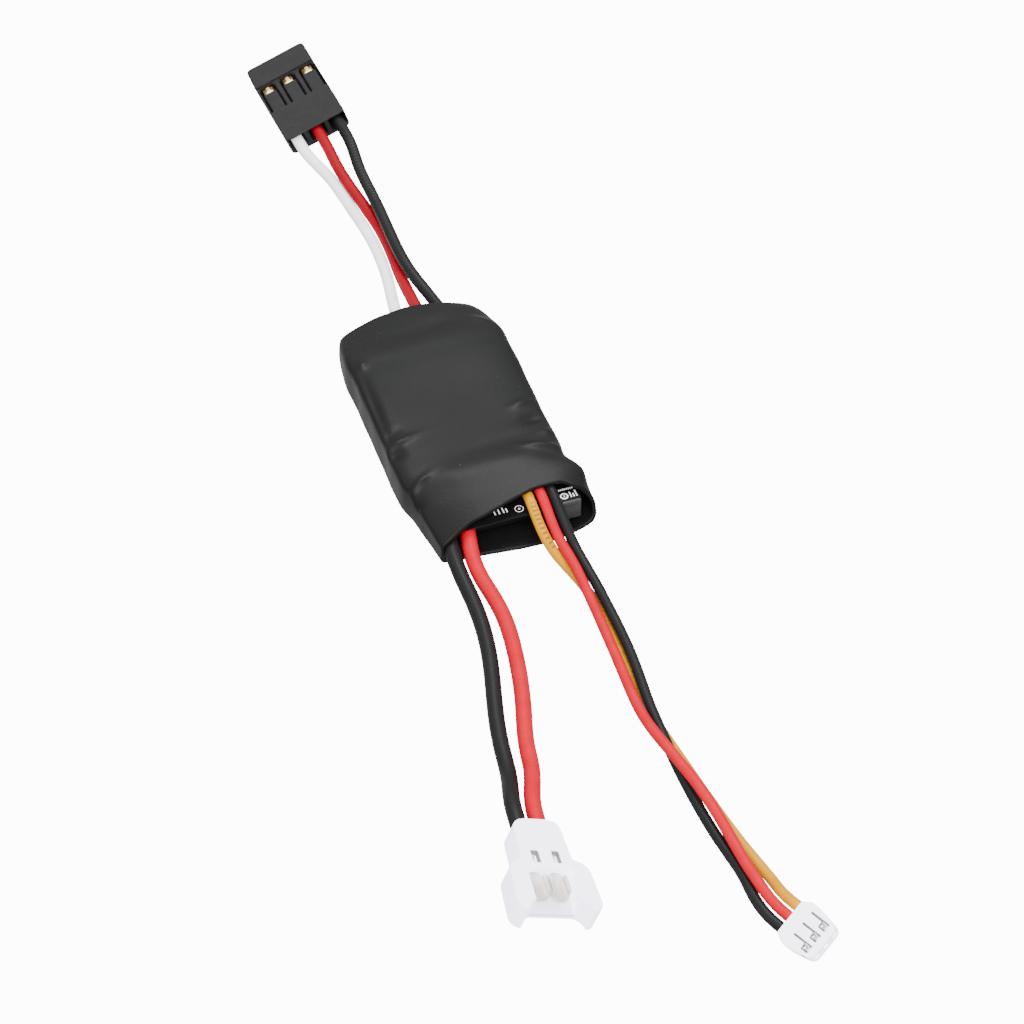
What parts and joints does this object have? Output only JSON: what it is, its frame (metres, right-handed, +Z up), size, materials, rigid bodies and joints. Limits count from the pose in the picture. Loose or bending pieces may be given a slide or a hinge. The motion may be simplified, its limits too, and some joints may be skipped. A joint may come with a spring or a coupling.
{
  "type": "brushless speed controller",
  "caption": "Small brushless motor speed controller in a shrunk sleeve, with a receiver lead, a battery lead and a motor lead, each ending in a plug.",
  "frame": {"origin": "middle of the sleeve's flat underside", "axes": "+X across the sleeve, +Y along the sleeve towards the receiver plug, +Z up out of the sleeve's flat top"},
  "size_m": [0.0271, 0.1389, 0.0055],
  "materials": {
    "board_dark": "dark solder mask on glass laminate",
    "capacitor_tan": "fired ceramic body",
    "chip_black": "moulded epoxy",
    "contact_gold": "gold flash",
    "contact_tin": "tin plate",
    "housing_black": "moulded nylon",
    "housing_white": "moulded natural nylon",
    "label_black": null,
    "resistor_black": "glazed film",
    "sleeve_black": "satin shrunk polyolefin film",
    "solder_grey": "bright solder",
    "tinned_copper": "stranded copper",
    "wire_black": "silicone insulation",
    "wire_red": "silicone insulation",
    "wire_white": "silicone insulation",
    "wire_yellow": "silicone insulation"
  },
  "bodies": {
    "sleeve": {"battery_black_wire_root": "wire_black", "battery_red_wire_root": "wire_red", "board_label": "label_black", "ceramic_capacitors": "capacitor_tan", "chip_resistors": "resistor_black", "circuit_board": "board_dark", "gate_driver": "chip_black", "input_block": "chip_black", "microcontroller": "chip_black", "motor_black_wire_root": "wire_black", "motor_red_wire_root": "wire_red", "motor_yellow_wire_root": "wire_yellow", "power_transistors": "chip_black", "receiver_black_wire_root": "wire_black", "receiver_red_wire_root": "wire_red", "receiver_white_wire_root": "wire_white", "root_conductors": "tinned_copper", "shrink_sleeve": "sleeve_black", "solder_joints": "solder_grey", "voltage_regulator": "chip_black"},
    "receiver_lead": {"receiver_black_wire": "wire_black", "receiver_conductors": "tinned_copper", "receiver_red_wire": "wire_red", "receiver_white_wire": "wire_white"},
    "receiver_plug": {"receiver_black_wire_end": "wire_black", "receiver_end_conductors": "tinned_copper", "receiver_plug_contacts": "contact_gold", "receiver_plug_housing": "housing_black", "receiver_red_wire_end": "wire_red", "receiver_white_wire_end": "wire_white"},
    "battery_lead": {"battery_black_wire": "wire_black", "battery_conductors": "tinned_copper", "battery_red_wire": "wire_red"},
    "battery_plug": {"battery_black_wire_end": "wire_black", "battery_end_conductors": "tinned_copper", "battery_plug_contacts": "contact_tin", "battery_plug_housing": "housing_white", "battery_red_wire_end": "wire_red"},
    "motor_lead": {"motor_black_wire": "wire_black", "motor_conductors": "tinned_copper", "motor_red_wire": "wire_red", "motor_yellow_wire": "wire_yellow"},
    "motor_plug": {"motor_black_wire_end": "wire_black", "motor_end_conductors": "tinned_copper", "motor_plug_contacts": "contact_tin", "motor_plug_housing": "housing_white", "motor_red_wire_end": "wire_red", "motor_yellow_wire_end": "wire_yellow"}
  },
  "joints": [
    {"name": "receiver_lead_bend", "type": "hinge", "parent": "sleeve", "child": "receiver_lead", "pos_m": [0, 0.0193, 0.0019], "axis": [1, 0, 0], "range_deg": [-60, 60]},
    {"name": "receiver_plug_bend", "type": "hinge", "parent": "receiver_lead", "child": "receiver_plug", "pos_m": [0.00138, 0.0494, 0.00245], "axis": [0.9498, 0.0498, 0.309], "range_deg": [-45, 45]},
    {"name": "battery_lead_bend", "type": "hinge", "parent": "sleeve", "child": "battery_lead", "pos_m": [0, -0.0184, 0.0013], "axis": [-1, 0, 0], "range_deg": [-60, 60]},
    {"name": "battery_plug_bend", "type": "hinge", "parent": "battery_lead", "child": "battery_plug", "pos_m": [-0.01096, -0.05096, 0.00275], "axis": [-0.9342, 0.1015, 0.342], "range_deg": [-45, 45]},
    {"name": "motor_lead_bend", "type": "hinge", "parent": "sleeve", "child": "motor_lead", "pos_m": [0, -0.0196, 0.0025], "axis": [-1, 0, 0], "range_deg": [-60, 60]},
    {"name": "motor_plug_bend", "type": "hinge", "parent": "motor_lead", "child": "motor_plug", "pos_m": [0.00682, -0.0682, 0.00175], "axis": [-0.8021, -0.3488, -0.4848], "range_deg": [-45, 45]}
  ]
}
